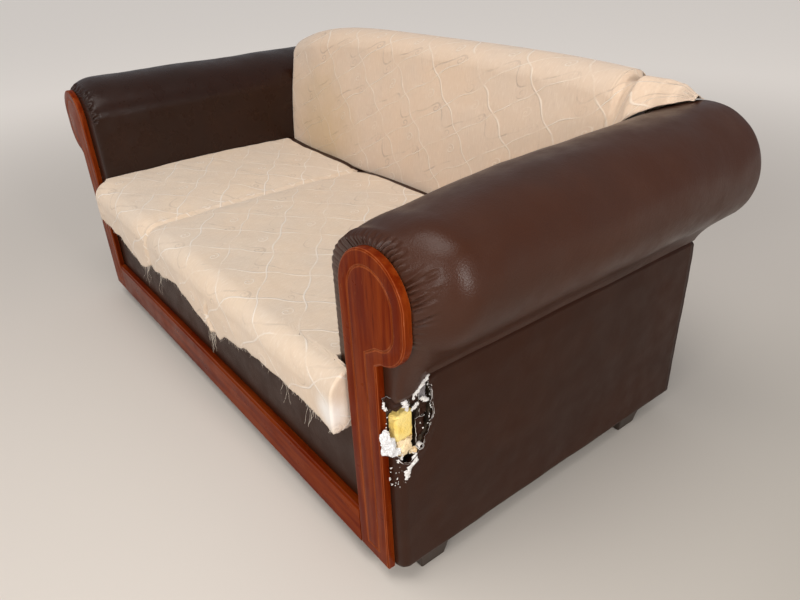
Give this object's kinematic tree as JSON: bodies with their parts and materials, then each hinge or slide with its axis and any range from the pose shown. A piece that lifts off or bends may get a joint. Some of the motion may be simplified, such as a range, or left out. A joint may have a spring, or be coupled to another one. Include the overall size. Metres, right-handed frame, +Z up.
{
  "type": "torn sofa",
  "caption": "Worn sofa with rolled arms, wooden arm facings, a loose cream cloth cover and a torn side panel, for sitting on.",
  "frame": {"origin": "middle of the box that holds the sofa, on the floor under it", "axes": "+X along the width, to the right of someone who faces the sofa, +Y to its back, +Z up"},
  "size_m": [1.898, 0.9216, 0.8506],
  "materials": {
    "lacquered_wood": "glossy red-brown lacquer, scuffed along the edges",
    "leather_cover": "dark brown imitation leather, semi-gloss, worn",
    "cream_cloth": "cream jacquard with a woven lattice, frayed edges",
    "yellow_foam": "open-cell upholstery foam, aged yellow",
    "white_wadding": "loose polyester wadding",
    "pine": "sawn, unfinished",
    "hardboard": "smooth brown board",
    "dark_wood": "dark brown stain, dull",
    "black_cloth": "thin black underside cloth",
    "felt": "pressed grey felt and webbing",
    "spring_steel": "drawn wire"
  },
  "bodies": {
    "root": {"facing_left": "lacquered_wood", "facing_right": "lacquered_wood", "front_rail": "lacquered_wood", "arm_roll_left": "leather_cover", "side_skin_left": "leather_cover", "arm_roll_right": "leather_cover", "side_skin_right": "leather_cover", "fascia_skin": "leather_cover", "rear_skin": "leather_cover", "backrest_pad": "leather_cover", "torn_flap_upper": "leather_cover", "torn_flap_front": "leather_cover", "seat_cushion_left": "leather_cover", "seat_cushion_middle": "leather_cover", "seat_cushion_right": "leather_cover", "seat_cloth_left": "cream_cloth", "seat_cloth_right": "cream_cloth", "back_cloth": "cream_cloth", "side_padding_left": "yellow_foam", "side_padding_right": "yellow_foam", "torn_foam_block": "yellow_foam", "torn_foam_lower": "yellow_foam", "torn_wadding": "white_wadding", "base_front_board": "pine", "base_rear_board": "pine", "base_stretcher_left": "pine", "base_stretcher_right": "pine", "back_top_rail": "pine", "back_lower_rail": "pine", "back_upright_left": "pine", "back_upright_right": "pine", "arm_front_post_left": "pine", "arm_rear_post_left": "pine", "arm_top_rail_left": "pine", "side_rail_left": "pine", "arm_front_post_right": "pine", "arm_rear_post_right": "pine", "arm_top_rail_right": "pine", "side_rail_right": "pine", "side_hardboard_left": "hardboard", "side_hardboard_right": "hardboard", "foot_front_left": "dark_wood", "foot_front_right": "dark_wood", "foot_rear_left": "dark_wood", "foot_rear_right": "dark_wood", "dust_cover": "black_cloth", "deck_felt": "felt", "back_strap_1": "felt", "back_strap_2": "felt", "back_strap_3": "felt", "seat_spring_1": "spring_steel", "seat_spring_2": "spring_steel", "seat_spring_3": "spring_steel", "seat_spring_4": "spring_steel", "seat_spring_5": "spring_steel"}
  },
  "joints": []
}
